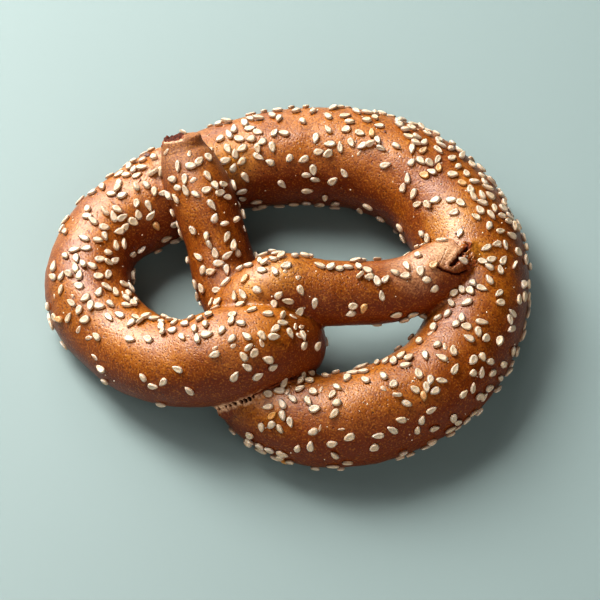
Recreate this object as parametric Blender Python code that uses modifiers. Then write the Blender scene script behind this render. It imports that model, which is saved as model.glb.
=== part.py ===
"""Spelt pretzel with sesame seeds: one baked strand, twisted twice, with both tips pressed on the belly.

The strand is a tube through named places, fused where it crosses itself and cut flat underneath.
X runs from lobe to lobe, +Y from the twist to the belly, the pretzel lies on Z = 0, and the origin is
under the middle of the strand's box.
"""

import math
import random

import bmesh
import bpy
from mathutils import Matrix, Vector
from mathutils.bvhtree import BVHTree

MM = 0.001

# The strand from its cut tip to its pressed tip: X, Y and Z of its centre and its radius, in millimetres.
STRAND = (
    (-42.5, 15.5, 31.0, 5.4),  # cut tip, lying over the belly
    (-40.5, 13.0, 28.3, 7.2),
    (-36.5, 9.0, 26.6, 8.6),
    (-30.0, 3.0, 23.8, 9.2),  # left arm, crossing the gap
    (-23.0, -4.0, 18.5, 9.0),
    (-16.5, -11.5, 13.8, 9.3),  # under the right arm
    (-8.0, -18.0, 12.0, 9.6),
    (2.5, -20.5, 13.5, 9.8),
    (9.0, -26.5, 18.0, 10.6),  # the left strand turns back
    (5.0, -32.0, 21.8, 12.2),  # over the right strand
    (-4.0, -38.5, 21.4, 13.4),
    (-18.5, -44.0, 16.0, 11.9),
    (-36.0, -40.5, 11.0, 12.0),  # left lobe
    (-51.0, -30.0, 10.5, 12.2),
    (-55.0, -12.0, 10.2, 11.8),
    (-46.5, 6.0, 11.0, 13.0),
    (-32.5, 24.0, 11.0, 12.8),  # belly, under the cut tip
    (-15.0, 35.5, 11.8, 13.9),
    (3.0, 41.5, 12.2, 14.4),  # middle of the belly
    (23.5, 39.5, 12.2, 14.7),
    (41.5, 27.0, 11.9, 14.9),
    (51.0, 10.5, 11.6, 13.9),  # belly, beside the pressed tip
    (51.0, -15.0, 11.5, 13.5),  # right lobe
    (37.0, -34.5, 11.3, 13.2),
    (20.5, -42.5, 10.6, 12.4),
    (6.2, -41.2, 10.3, 11.1),  # under the left strand
    (-4.0, -32.5, 13.0, 10.0),
    (-5.5, -23.0, 20.0, 9.6),  # the right strand rises
    (0.5, -15.5, 25.4, 9.5),  # over the left arm
    (14.0, -10.0, 24.0, 9.1),  # right arm, crossing the gap
    (27.5, -2.5, 22.2, 8.8),
    (34.0, 3.0, 21.9, 8.6),
    (39.0, 10.0, 22.8, 8.4),
    (42.8, 15.5, 23.0, 6.6),  # pressed tip, on the inside of the belly
)

# Dough that bridges or breaks, as short tubes of their own, with the same four values.
CROSSING_WEB = (  # stretched between the two strands at the bottom crossing
    (-1.2, -48.9, 12.0, 3.6),
    (2.4, -47.6, 14.2, 3.6),
    (6.0, -46.0, 17.0, 3.2),
)
TORN_CRUST = (  # ragged end of the pressed tip
    (43.0, 18.7, 24.5, 3.2),
    (45.3, 16.8, 24.0, 3.4),
    (44.9, 12.7, 24.0, 2.8),
)
TIP_SKIN = (  # skin drawn from the cut tip to the belly beside it
    (-48.9, 14.0, 22.6, 2.6),
    (-47.2, 9.6, 22.8, 2.8),
    (-44.7, 6.2, 22.0, 2.2),
)
POINTS_PER_SPAN = 7
ROUND_SIDES = 9  # bevel_resolution of the tube

CRUMB = 1.1 * MM  # voxel that fuses the strand where it crosses itself
CREASE_SOFTENING = 4  # smoothing steps over the creases
BODY_TRIANGLES = 3600
TABLE_SLAB = (0.30, 0.30, 0.05)  # cutter under the flat bottom

SEED_LENGTH, SEED_WIDTH, SEED_THICKNESS = 3.3 * MM, 2.1 * MM, 1.2 * MM
SEED_TAPER = 0.38  # how much narrower the pointed end is
SEED_SINK = 0.12 * MM  # how far a seed's middle lies above the crust
SEED_SIZES = (0.9, 1.12)
SEED_COUNT = 190
SEED_TRIES = 9000
SEED_SPACING = 4.4 * MM
LOWEST_SEED = 4.0 * MM
STEEPEST_SEED = -0.15  # least upward part of the crust's normal under a seed
SCATTER = 21  # random seed

# Where the crust carries many seeds or none: X, Y, radius in millimetres, and the share of the spacing kept there.
SEED_PATCHES = (
    (46.0, 30.0, 20.0, 0.62),  # right shoulder, thickest
    (-47.0, 14.0, 14.0, 0.75),  # left shoulder
    (-44.0, -18.0, 13.0, 0.80),  # inside of the left lobe
    (-20.0, -6.0, 9.0, 0.75),  # foot of the left arm
    (12.0, -45.0, 11.0, 0.72),  # in front of the crossing
    (-36.0, -44.0, 15.0, 2.40),  # front of the left lobe, nearly bare
    (-14.0, -49.0, 10.0, 2.40),
    (8.0, 30.0, 10.0, 1.60),  # inside of the belly
)
BARE_SPOTS = (
    (-43.0, 16.0, 27.5, 11.0),  # cut tip: X, Y, Z and radius in millimetres
    (42.0, 15.0, 26.0, 9.0),  # pressed tip
)


def smooth_path(stations, per_span):
    """Centripetal Catmull-Rom points through the stations, as (place, radius), both in millimetres."""
    rows = [Vector(station) for station in stations]
    rows = [2 * rows[0] - rows[1], *rows, 2 * rows[-1] - rows[-2]]
    path = []
    for before, start, end, after in zip(rows, rows[1:], rows[2:], rows[3:]):
        knots = [0.0]
        for a, b in ((before, start), (start, end), (end, after)):
            knots.append(knots[-1] + math.sqrt((b.xyz - a.xyz).length))
        for step in range(per_span):
            t = knots[1] + (knots[2] - knots[1]) * step / per_span
            path.append(blend_station(before, start, end, after, knots, t))
    path.append(rows[-2])
    return [(row.xyz, row.w) for row in path]


def blend_station(before, start, end, after, knots, t):
    """One point of a Catmull-Rom span, by Barry and Goldman's pyramid of straight blends."""

    def straight(a, b, low, high):
        return a * ((high - t) / (high - low)) + b * ((t - low) / (high - low))

    k0, k1, k2, k3 = knots
    first = straight(before, start, k0, k1)
    second = straight(start, end, k1, k2)
    third = straight(end, after, k2, k3)
    left = straight(first, second, k0, k2)
    right = straight(second, third, k1, k3)
    return straight(left, right, k1, k2)


def centred(paths):
    """The same paths, moved so that the first one's tube has its middle over the origin."""
    middle = Vector((0.0, 0.0, 0.0))
    for axis in (0, 1):
        low = min(place[axis] - radius for place, radius in paths[0])
        high = max(place[axis] + radius for place, radius in paths[0])
        middle[axis] = (low + high) / 2
    return [[(place - middle, radius) for place, radius in path] for path in paths]


def make_collection(name):
    collection = bpy.data.collections.new(name)
    bpy.context.scene.collection.children.link(collection)
    return collection


def crust_material():
    material = bpy.data.materials.new("baked_crust")
    material.use_nodes = True
    shader = material.node_tree.nodes["Principled BSDF"]
    shader.inputs["Base Color"].default_value = (0.36, 0.13, 0.035, 1.0)
    shader.inputs["Roughness"].default_value = 0.42
    shader.inputs["Metallic"].default_value = 0.0
    return material


def dough_tubes(paths):
    """One curve with a tube for each path, with its own thickness at every point."""
    curve = bpy.data.curves.new("strand_line", "CURVE")
    curve.dimensions = "3D"
    curve.bevel_depth = MM
    curve.bevel_resolution = ROUND_SIDES
    curve.use_fill_caps = True
    for path in paths:
        spline = curve.splines.new("POLY")
        spline.points.add(len(path) - 1)
        for point, (place, radius) in zip(spline.points, path):
            point.co = (*(place * MM), 1.0)
            point.radius = radius
    strand = bpy.data.objects.new("strand_line", curve)
    bpy.context.scene.collection.objects.link(strand)
    return strand


def closed_mesh_of(curve_object, name):
    """The curve's tubes as a mesh object, with their end caps welded on."""
    graph = bpy.context.evaluated_depsgraph_get()
    mesh = bpy.data.meshes.new_from_object(curve_object.evaluated_get(graph))
    mesh.name = name
    form = bmesh.new()
    form.from_mesh(mesh)
    bmesh.ops.remove_doubles(form, verts=form.verts, dist=0.01 * MM)
    bmesh.ops.recalc_face_normals(form, faces=form.faces)
    form.to_mesh(mesh)
    form.free()
    tube = bpy.data.objects.new(name, mesh)
    tube.matrix_world = curve_object.matrix_world
    bpy.data.objects.remove(curve_object)
    return tube


def table_cutter(cutters):
    """A slab whose top is the surface that the pretzel was baked on."""
    width, depth, height = TABLE_SLAB
    bpy.ops.mesh.primitive_cube_add(size=1.0, location=(0.0, 0.0, -height / 2))
    slab = bpy.context.object
    slab.name = "table_cutter"
    slab.scale = (width, depth, height)
    bpy.ops.object.transform_apply(location=False, rotation=False, scale=True)
    slab.hide_render = True
    slab.display_type = "WIRE"
    for holder in list(slab.users_collection):
        holder.objects.unlink(slab)
    cutters.objects.link(slab)
    return slab


def apply_modifiers(target):
    """Makes the modifiers' result the object's own mesh."""
    graph = bpy.context.evaluated_depsgraph_get()
    shaped = bpy.data.meshes.new_from_object(target.evaluated_get(graph))
    target.modifiers.clear()
    plain = target.data
    target.data = shaped
    shaped.name = target.name
    bpy.data.meshes.remove(plain)


def fuse_strand(dough, slab):
    """Melts the crossings together, softens their creases, thins out the faces and cuts the bottom flat."""
    fuse = dough.modifiers.new("fuse", "REMESH")
    fuse.mode = "VOXEL"
    fuse.voxel_size = CRUMB
    soften = dough.modifiers.new("soften", "SMOOTH")
    soften.factor = 0.5
    soften.iterations = CREASE_SOFTENING
    apply_modifiers(dough)
    thin = dough.modifiers.new("thin", "DECIMATE")
    dough.data.calc_loop_triangles()
    thin.ratio = BODY_TRIANGLES / len(dough.data.loop_triangles)
    bottom = dough.modifiers.new("bottom", "BOOLEAN")
    bottom.operation = "DIFFERENCE"
    bottom.solver = "EXACT"
    bottom.object = slab
    apply_modifiers(dough)


def seed_mesh():
    """A flat teardrop of 32 triangles, its length along X and its flat side up."""
    form = bmesh.new()
    bmesh.ops.create_uvsphere(form, u_segments=8, v_segments=3, radius=0.5)
    for vert in form.verts:
        vert.co.y *= 1.0 - SEED_TAPER * (vert.co.x + 0.5)
    bmesh.ops.scale(form, vec=(SEED_LENGTH, SEED_WIDTH, SEED_THICKNESS), verts=form.verts)
    mesh = bpy.data.meshes.new("seed")
    form.to_mesh(mesh)
    form.free()
    return mesh


def spacing_at(place):
    """How far apart the seeds lie at a place on the crust."""
    spacing = SEED_SPACING
    for x, y, radius, share in SEED_PATCHES:
        away = (place.xy / MM - Vector((x, y))).length / radius
        if away < 1.0:
            spacing *= share + (1.0 - share) * away * away
    return spacing


def may_carry_seed(place, normal):
    if place.z < LOWEST_SEED or normal.z < STEEPEST_SEED:
        return False
    return all((place / MM - Vector((x, y, z))).length > radius for x, y, z, radius in BARE_SPOTS)


def seed_places(dough, chance):
    """Places and normals of the seeds: random points of the crust, each clear of those before it."""
    mesh = dough.data
    mesh.calc_loop_triangles()
    triangles = list(mesh.loop_triangles)
    corners = [[mesh.vertices[i].co for i in triangle.vertices] for triangle in triangles]
    picks = chance.choices(range(len(triangles)), [triangle.area for triangle in triangles], k=SEED_TRIES)
    found = []
    for pick in picks:
        a, b, c = corners[pick]
        u, v = chance.random(), chance.random()
        if u + v > 1.0:
            u, v = 1.0 - u, 1.0 - v
        place = a + u * (b - a) + v * (c - a)
        normal = triangles[pick].normal.copy()
        if not may_carry_seed(place, normal):
            continue
        spacing = spacing_at(place)
        if all((place - other).length > spacing for other, _ in found):
            found.append((place, normal))
        if len(found) == SEED_COUNT:
            break
    return found


def stands_clear(crust, place, normal):
    """True unless another stretch of the strand lies straight above the place, as in a crease."""
    above = place + normal * 0.5 * MM
    return crust.ray_cast(above, normal, 6.0 * MM)[0] is None


def scatter_seeds(dough, seeds):
    """Lays the seeds flat on the crust, each turned its own way."""
    chance = random.Random(SCATTER)
    crust = BVHTree.FromObject(dough, bpy.context.evaluated_depsgraph_get())
    mesh = seed_mesh()
    laid = 0
    for place, normal in seed_places(dough, chance):
        turn = Matrix.Rotation(chance.uniform(0.0, math.tau), 4, "Z")
        size = Matrix.Scale(chance.uniform(*SEED_SIZES), 4)
        if not stands_clear(crust, place, normal):
            continue
        upright = normal.to_track_quat("Z", "Y").to_matrix().to_4x4()
        seed = bpy.data.objects.new("seed", mesh)
        seed.matrix_world = Matrix.Translation(place + normal * SEED_SINK) @ upright @ turn @ size
        seeds.objects.link(seed)
        laid += 1
    print(laid, "seeds laid on the crust")


def fuse_seeds(dough, seeds):
    """Joins every seed to the crust, then removes the loose ones."""
    join = dough.modifiers.new("seeds", "BOOLEAN")
    join.operation = "UNION"
    join.operand_type = "COLLECTION"
    join.collection = seeds
    join.solver = "MANIFOLD"
    bpy.context.view_layer.update()
    apply_modifiers(dough)
    for seed in list(seeds.objects):
        bpy.data.objects.remove(seed)
    bpy.data.collections.remove(seeds)


def main():
    for old in list(bpy.data.objects):
        bpy.data.objects.remove(old)
    food = make_collection("spelt_pretzel")
    cutters = make_collection("cutters")
    seeds = make_collection("seeds")

    rows = (STRAND, CROSSING_WEB, TORN_CRUST, TIP_SKIN)
    paths = centred([smooth_path(row, POINTS_PER_SPAN) for row in rows])
    dough = closed_mesh_of(dough_tubes(paths), "pretzel")
    food.objects.link(dough)
    fuse_strand(dough, table_cutter(cutters))
    scatter_seeds(dough, seeds)
    fuse_seeds(dough, seeds)
    dough.data.materials.clear()
    dough.data.materials.append(crust_material())
    dough.data.shade_smooth()
    dough.data.set_sharp_from_angle(angle=math.radians(35.0))


main()
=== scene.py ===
# %% [markdown]
# # A spelt pretzel with sesame seeds
# A pretzel is one long strand of dough. Its thick middle is the belly, its thin ends are the arms. The baker
# twists the arms round each other, folds them back, presses their tips on the belly and strews seeds on top.
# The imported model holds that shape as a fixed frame. Everything below is built round it, in metres, in the
# same place: first the camera and the light, then the dough, its skin, the seeds and the small flakes.

import math
import random

import bmesh
import bpy
from mathutils import Matrix, Vector, noise
from mathutils.bvhtree import BVHTree


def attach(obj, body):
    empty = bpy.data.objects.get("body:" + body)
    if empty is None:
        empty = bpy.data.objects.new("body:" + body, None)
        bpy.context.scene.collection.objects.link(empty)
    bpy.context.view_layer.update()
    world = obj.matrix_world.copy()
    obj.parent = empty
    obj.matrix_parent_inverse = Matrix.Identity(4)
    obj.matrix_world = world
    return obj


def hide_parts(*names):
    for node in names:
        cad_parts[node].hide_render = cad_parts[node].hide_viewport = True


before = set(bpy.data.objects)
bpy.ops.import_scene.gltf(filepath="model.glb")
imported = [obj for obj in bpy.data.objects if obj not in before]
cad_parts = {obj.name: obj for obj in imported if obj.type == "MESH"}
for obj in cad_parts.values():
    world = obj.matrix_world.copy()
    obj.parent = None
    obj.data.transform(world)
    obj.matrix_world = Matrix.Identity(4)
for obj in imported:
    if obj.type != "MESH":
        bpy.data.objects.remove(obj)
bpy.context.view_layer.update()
MM = 0.001

# %% [markdown]
# ## The camera
# The pretzel lies flat and is seen from in front, a little from its right side, and from well above. A long
# lens from nearly a metre away keeps the far side as large as the near side. The lens follows from the
# width of the view at the pretzel, so the picture's scale is one number.

# %% Camera
VIEW_TURN = math.radians(24.0)  # round the upright axis, towards the pretzel's right
VIEW_RISE = math.radians(59.0)  # above the table
VIEW_DISTANCE = 900 * MM
VIEW_WIDTH = 171.4 * MM
VIEW_RIGHTWARD, VIEW_DOWNWARD = 0.86 * MM, 2.29 * MM  # where the picture's middle lies beside the pretzel's
PRETZEL_MIDDLE = Vector((0.30 * MM, -0.25 * MM, 0.0))

towards_camera = Vector((
    math.sin(VIEW_TURN) * math.cos(VIEW_RISE),
    -math.cos(VIEW_TURN) * math.cos(VIEW_RISE),
    math.sin(VIEW_RISE),
))
camera_turn = towards_camera.to_track_quat("Z", "Y").to_matrix()
aim = PRETZEL_MIDDLE + camera_turn @ Vector((VIEW_RIGHTWARD, -VIEW_DOWNWARD, 0.0))

camera_data = bpy.data.cameras.new("camera")
camera_data.sensor_width = 36.0
camera_data.lens = camera_data.sensor_width * VIEW_DISTANCE / VIEW_WIDTH
camera = bpy.data.objects.new("camera", camera_data)
camera.matrix_world = Matrix.Translation(aim + towards_camera * VIEW_DISTANCE) @ camera_turn.to_4x4()
bpy.context.scene.collection.objects.link(camera)
bpy.context.scene.camera = camera
print("lens:", round(camera_data.lens), "mm")

# %% [markdown]
# ## Light and floor
# Glossy crust shows its roundness by what it mirrors. A window and the bright wall round it stand high
# behind the pretzel and to its left, so a broad pale streak runs along the top of every strand and soft
# shadows fall to the front right. Three lamps that only the gloss sees widen and strengthen the streak
# without bleaching the brown. Low glows edge the strands in front and behind, and a large lamp that the
# gloss doesn't see lightens the shadows. The sky is nearly dark, and the floor is a plain sheet.

# %% Lamps and sky
LAMPS = (  # name, direction, then distance, width and height in metres, watts, colour, and what it lights
    ("window", (-0.66, 0.25, 0.70), 0.8, 0.32, 0.58, 9.6, (1.0, 0.97, 0.91), "all"),
    ("window_gloss", (-0.66, 0.25, 0.70), 0.8, 0.32, 0.58, 8.4, (1.0, 0.97, 0.92), "gloss"),
    ("bright_wall", (-0.62, 0.30, 0.72), 1.0, 1.5, 0.8, 5.0, (1.0, 0.98, 0.95), "all"),
    ("wall_gloss", (-0.62, 0.30, 0.72), 1.0, 1.5, 0.8, 13.5, (1.0, 0.96, 0.92), "gloss"),
    ("ceiling_gloss", (-0.46, -0.10, 0.88), 1.2, 1.1, 1.0, 7.5, (1.0, 0.96, 0.92), "gloss"),
    ("front_glow", (0.66, -0.72, 0.14), 1.4, 2.8, 0.3, 1.2, (1.0, 0.88, 0.80), "all"),
    ("back_glow", (-0.69, 0.70, 0.17), 1.2, 0.9, 0.3, 6.0, (1.0, 0.97, 0.93), "all"),
    ("front_fill", (0.45, -0.65, 0.60), 1.4, 1.8, 1.2, 10.5, (1.0, 0.94, 0.88), "matt"),
)
SKY_COLOUR, SKY_STRENGTH = (0.96, 0.97, 1.0, 1.0), 0.012

scene = bpy.context.scene
scene.view_settings.view_transform = "Standard"
scene.view_settings.look = "Medium High Contrast"


def soft_lamp(name, direction, distance, width, height, watts, colour, lights):
    """A flat lamp that looks at the pretzel and lights its gloss, its matt colour or all of it."""
    data = bpy.data.lights.new(name, "AREA")
    data.shape = "RECTANGLE"
    data.size = width
    data.size_y = height
    data.energy = watts
    data.color = colour
    lamp = bpy.data.objects.new(name, data)
    towards_lamp = Vector(direction).normalized()
    turn = towards_lamp.to_track_quat("Z", "Y").to_matrix().to_4x4()
    lamp.matrix_world = Matrix.Translation(towards_lamp * distance) @ turn
    lamp.visible_diffuse = lights != "gloss"
    lamp.visible_glossy = lights != "matt"
    scene.collection.objects.link(lamp)


for lamp in LAMPS:
    soft_lamp(*lamp)
print("lamps:", len(LAMPS))

world = bpy.data.worlds.new("pale_sky")
world.use_nodes = True
sky = world.node_tree.nodes["Background"]
sky.inputs["Color"].default_value = SKY_COLOUR
sky.inputs["Strength"].default_value = SKY_STRENGTH
scene.world = world

# %% Floor
FLOOR_SIZE = 4.0  # metres
FLOOR_COLOUR, FLOOR_ROUGHNESS = (0.21, 0.29, 0.295, 1.0), 0.7


def mesh_from(form, name):
    """Turns a finished bmesh into a mesh."""
    mesh = bpy.data.meshes.new(name)
    form.to_mesh(mesh)
    form.free()
    return mesh


def object_from(form, name):
    """Turns a finished bmesh into an object of the scene."""
    made = bpy.data.objects.new(name, mesh_from(form, name))
    scene.collection.objects.link(made)
    return made


def new_material(name):
    """A material that holds only its Principled shader."""
    material = bpy.data.materials.new(name)
    material.use_nodes = True
    return material


def feed(material, socket, value):
    """Links a socket to another node's output, or sets it to a plain value."""
    if isinstance(value, bpy.types.NodeSocket):
        material.node_tree.links.new(value, socket)
    else:
        socket.default_value = value


def set_shader(material, values):
    """Links or sets the Principled shader's sockets by their names."""
    shader = material.node_tree.nodes["Principled BSDF"]
    for name, value in values.items():
        feed(material, shader.inputs[name], value)


floor_form = bmesh.new()
bmesh.ops.create_grid(floor_form, x_segments=1, y_segments=1, size=FLOOR_SIZE / 2)
floor = object_from(floor_form, "floor")
floor_paint = new_material("floor_paint")
set_shader(floor_paint, {"Base Color": FLOOR_COLOUR, "Roughness": FLOOR_ROUGHNESS})
floor.data.materials.append(floor_paint)
print("floor:", FLOOR_SIZE, "m wide")

# %% [markdown]
# ## The strand
# The dough is a tube through listed places, each with a thickness: cut tip, left arm, the twist, left
# lobe, belly, right lobe, back under the twist, right arm, pressed tip. A smooth curve runs through them, so
# few places give the whole pretzel. They are the imported model's own, in millimetres, and so is the rule that
# centres them.

# %% Places along the strand
STRAND = (  # X, Y, Z of the middle and the radius, in millimetres
    (-42.5, 15.5, 31.0, 5.4),  # cut tip, lying over the belly
    (-40.5, 13.0, 28.3, 7.2),
    (-36.5, 9.0, 26.6, 8.6),
    (-30.0, 3.0, 23.8, 9.2),  # left arm, crossing the gap
    (-23.0, -4.0, 18.5, 9.0),
    (-16.5, -11.5, 13.8, 9.3),  # under the right arm
    (-8.0, -18.0, 12.0, 9.6),
    (2.5, -20.5, 13.5, 9.8),
    (9.0, -26.5, 18.0, 10.6),  # the left strand turns back
    (5.0, -32.0, 21.8, 12.2),  # over the right strand
    (-4.0, -38.5, 21.4, 13.4),
    (-18.5, -44.0, 16.0, 11.9),
    (-36.0, -40.5, 11.0, 12.0),  # left lobe
    (-51.0, -30.0, 10.5, 12.2),
    (-55.0, -12.0, 10.2, 11.8),
    (-46.5, 6.0, 11.0, 13.0),
    (-32.5, 24.0, 11.0, 12.8),  # belly, under the cut tip
    (-15.0, 35.5, 11.8, 13.9),
    (3.0, 41.5, 12.2, 14.4),  # middle of the belly
    (23.5, 39.5, 12.2, 14.7),
    (41.5, 27.0, 11.9, 14.9),
    (51.0, 10.5, 11.6, 13.9),  # belly, beside the pressed tip
    (51.0, -15.0, 11.5, 13.5),  # right lobe
    (37.0, -34.5, 11.3, 13.2),
    (20.5, -42.5, 10.6, 12.4),
    (6.2, -41.2, 10.3, 11.1),  # under the left strand
    (-4.0, -32.5, 13.0, 10.0),
    (-5.5, -23.0, 20.0, 9.6),  # the right strand rises
    (0.5, -15.5, 25.4, 9.5),  # over the left arm
    (14.0, -10.0, 24.0, 9.1),  # right arm, crossing the gap
    (27.5, -2.5, 22.2, 8.8),
    (34.0, 3.0, 21.9, 8.6),
    (39.0, 10.0, 22.8, 8.4),
    (42.8, 15.5, 23.0, 6.6),  # pressed tip, on the inside of the belly
)
CROSSING_WEB = (  # dough stretched between the two strands at the bottom crossing
    (-1.2, -48.9, 12.0, 3.6),
    (2.4, -47.6, 14.2, 3.6),
    (6.0, -46.0, 17.0, 3.2),
)
TORN_CRUST = (  # ragged end of the pressed tip
    (43.0, 18.7, 24.5, 3.2),
    (45.3, 16.8, 24.0, 3.4),
    (44.9, 12.7, 24.0, 2.8),
)
TIP_SKIN = (  # skin drawn from the cut tip to the belly beside it
    (-48.9, 14.0, 22.6, 2.6),
    (-47.2, 9.6, 22.8, 2.8),
    (-44.7, 6.2, 22.0, 2.2),
)
POINTS_PER_SPAN = 7


def blend(a, b, low, high, t):
    """A straight blend that is a where t is low and b where t is high."""
    return a * ((high - t) / (high - low)) + b * ((t - low) / (high - low))


def blended(rows, knots, t):
    """The curve at t between the middle two of four rows: neighbours are blended until one row is left."""
    for reach in (1, 2):
        rows = [blend(a, b, low, high, t) for a, b, low, high in zip(rows, rows[1:], knots, knots[reach:])]
    return blend(*rows, knots[1], knots[2], t)


def smooth_path(stations):
    """Points of a smooth curve through the stations, as (place, radius), both in millimetres."""
    rows = [Vector(station) for station in stations]
    rows = [2 * rows[0] - rows[1], *rows, 2 * rows[-1] - rows[-2]]
    path = []
    for span in zip(rows, rows[1:], rows[2:], rows[3:]):
        knots = [0.0]
        for a, b in zip(span, span[1:]):
            knots.append(knots[-1] + math.sqrt((b.xyz - a.xyz).length))
        for step in range(POINTS_PER_SPAN):
            t = knots[1] + (knots[2] - knots[1]) * step / POINTS_PER_SPAN
            path.append(blended(span, knots, t))
    path.append(rows[-2])
    return [(row.xyz, row.w) for row in path]


def middle_of(path):
    """The middle of a path's tube in X and Y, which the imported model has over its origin."""
    middle = Vector((0.0, 0.0, 0.0))
    for axis in (0, 1):
        low = min(place[axis] - radius for place, radius in path)
        high = max(place[axis] + radius for place, radius in path)
        middle[axis] = (low + high) / 2
    return middle


paths = [smooth_path(row) for row in (STRAND, CROSSING_WEB, TORN_CRUST, TIP_SKIN)]
strand_middle = middle_of(paths[0])
paths = [[(place - strand_middle, radius) for place, radius in path] for path in paths]
strand_length = sum((b[0] - a[0]).length for a, b in zip(paths[0], paths[0][1:]))
print("strand:", round(strand_length), "mm long, moved by", [round(v, 2) for v in strand_middle], "mm")

# %% [markdown]
# ## Rolling out the tube
# A ring of points is set square to the start of the strand, then extruded from place to place. Each ring is
# turned as little as possible from the one before, so the tube never twists. Ends are closed by a flat face,
# which suits the cut tip.

# %% Tubes of dough
RING_SIDES = 40


def ring_frames(path):
    """A matrix for each point of a path: its place, its Z along the strand, and its radius as the scale."""
    places = [place for place, _ in path]
    side = Vector((0.0, 0.0, 1.0))
    frames = []
    for i, (place, radius) in enumerate(path):
        along = (places[min(i + 1, len(path) - 1)] - places[max(i - 1, 0)]).normalized()
        side = (side - along * side.dot(along)).normalized()
        turn = Matrix((side, along.cross(side), along)).transposed().to_4x4()
        frames.append(Matrix.Translation(place * MM) @ turn @ Matrix.Scale(radius * MM, 4))
    return frames


def add_tube(form, path):
    """Extrudes a ring along a path, with a face on both ends."""
    frames = ring_frames(path)
    verts = bmesh.ops.create_circle(form, segments=RING_SIDES, radius=1.0, matrix=frames[0])["verts"]
    edges = list({edge for vert in verts for edge in vert.link_edges})
    bmesh.ops.edgeloop_fill(form, edges=edges)
    for here, there in zip(frames, frames[1:]):
        grown = bmesh.ops.extrude_edge_only(form, edges=edges)["geom"]
        verts = [item for item in grown if isinstance(item, bmesh.types.BMVert)]
        edges = [item for item in grown if isinstance(item, bmesh.types.BMEdge)]
        bmesh.ops.transform(form, matrix=there @ here.inverted(), verts=verts)
    bmesh.ops.edgeloop_fill(form, edges=edges)


form = bmesh.new()
for path in paths:
    add_tube(form, path)
bmesh.ops.recalc_face_normals(form, faces=form.faces)
dough = object_from(form, "dough")
print("tube:", len(dough.data.vertices), "points")

# %% [markdown]
# ## Baking it into one body
# Where the strand lies on itself, the dough melts together in the oven. A voxel remesh does the same: it
# fills the tubes with small cubes and skins them anew. A little smoothing takes the cube steps away and
# leaves the creases. The baking tray flattens the underside, so what is below it is pressed up to it.

# %% Fuse, soften and set on the tray
CRUMB = 0.64 * MM  # side of the small cubes
CREASE_SOFTENING = 2
TRAY_EDGE = 0.9 * MM  # height over which the side turns into the flat underside


def apply_modifiers(target):
    """Makes the modifiers' result the object's own mesh."""
    graph = bpy.context.evaluated_depsgraph_get()
    shaped = bpy.data.meshes.new_from_object(target.evaluated_get(graph))
    target.modifiers.clear()
    plain = target.data
    target.data = shaped
    bpy.data.meshes.remove(plain)
    shaped.name = target.name


fuse = dough.modifiers.new("fuse", "REMESH")
fuse.mode = "VOXEL"
fuse.voxel_size = CRUMB
soften = dough.modifiers.new("soften", "SMOOTH")
soften.factor = 0.5
soften.iterations = CREASE_SOFTENING
apply_modifiers(dough)


def on_tray(height):
    """The height after baking: nothing is lower than the tray, with a soft turn just above it."""
    if height > TRAY_EDGE:
        return height
    return max(height + TRAY_EDGE, 0.0) ** 2 / (4 * TRAY_EDGE)


for vert in dough.data.vertices:
    vert.co.z = on_tray(vert.co.z)
print("dough:", len(dough.data.vertices), "points,", len(dough.data.polygons), "faces")

# %% [markdown]
# ## Uneven dough
# Real dough is never a perfect tube: it swells a little more here than there, and its skin has shallow
# blisters. Noise of three sizes moves the points in and out along their normals, the widest the most. The
# underside keeps its flat tray mark.

# %% Swellings and blisters
SWELLINGS = (  # width and height, in millimetres
    (15.0, 0.40),
    (5.5, 0.13),
    (2.4, 0.06),
)


def swelling_at(place):
    """How far the skin stands out at a place, in metres."""
    spot = place / MM
    return MM * sum(height * noise.noise(spot / width) for width, height in SWELLINGS)


moves = [vert.normal * swelling_at(vert.co) for vert in dough.data.vertices]
for vert, move in zip(dough.data.vertices, moves):
    if vert.co.z > TRAY_EDGE:
        vert.co += move
print("largest swelling:", round(max(move.length for move in moves) / MM, 2), "mm")

# %% [markdown]
# ## Torn ends, cracks and the stretched seam
# Both tips tore when the strand was cut and pressed down. The left half of the cut tip is a dark rough face
# behind a pale rim. The pressed tip has a deep crack, a fine one and a crevice, with crumbly crust beside
# them. At the bottom crossing the dough stretched until small holes opened along the seam. These are finer
# than the skin's own faces, so the skin is divided further around them, and their points are then pushed in
# or out by the distance to a few listed lines.

# %% Finer skin where the dough tore
TORN_PLACES = (  # X, Y, Z and radius in millimetres
    (-43.4, 14.2, 30.6, 7.2),
    (44.2, 14.0, 27.9, 5.8),
    (42.6, 8.4, 29.4, 4.4),
)
SEAM = (  # where the two strands meet at the bottom crossing
    (-1.6, -51.5, 13.8),
    (1.4, -50.7, 16.4),
    (3.7, -49.7, 18.2),
    (6.2, -48.5, 19.8),
    (9.1, -46.3, 21.5),
    (12.8, -42.9, 22.4),
    (16.0, -39.0, 22.0),
)
SEAM_REACH = 2.3  # half the width of the finer skin along the seam, in millimetres
FINE_MARGINS = (0.7, 0.0)  # round the torn places, for the first and the second division
SMOOTHING_ROUNDS, SMOOTHING_MARGIN = 3, -0.3


def beside_line(spot, line):
    """The distance from a spot to a line of points, and how far along the line it lies, from 0 to 1."""
    best = (1e9, 0.0)
    points = [Vector(point) for point in line]
    for i, (start, end) in enumerate(zip(points, points[1:])):
        span = end - start
        part = min(max((spot - start).dot(span) / span.length_squared, 0.0), 1.0)
        best = min(best, ((spot - start - span * part).length, (i + part) / (len(points) - 1)))
    return best


def torn_here(spot, margin):
    """Whether a spot, in millimetres, lies where the skin has to be finer."""
    if any((spot - Vector((x, y, z))).length < radius + margin for x, y, z, radius in TORN_PLACES):
        return True
    near_seam = spot.y < -30.0 and spot.z > 10.0  # a quick test that skips most of the skin
    return near_seam and beside_line(spot, SEAM)[0] < SEAM_REACH + margin


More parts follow.
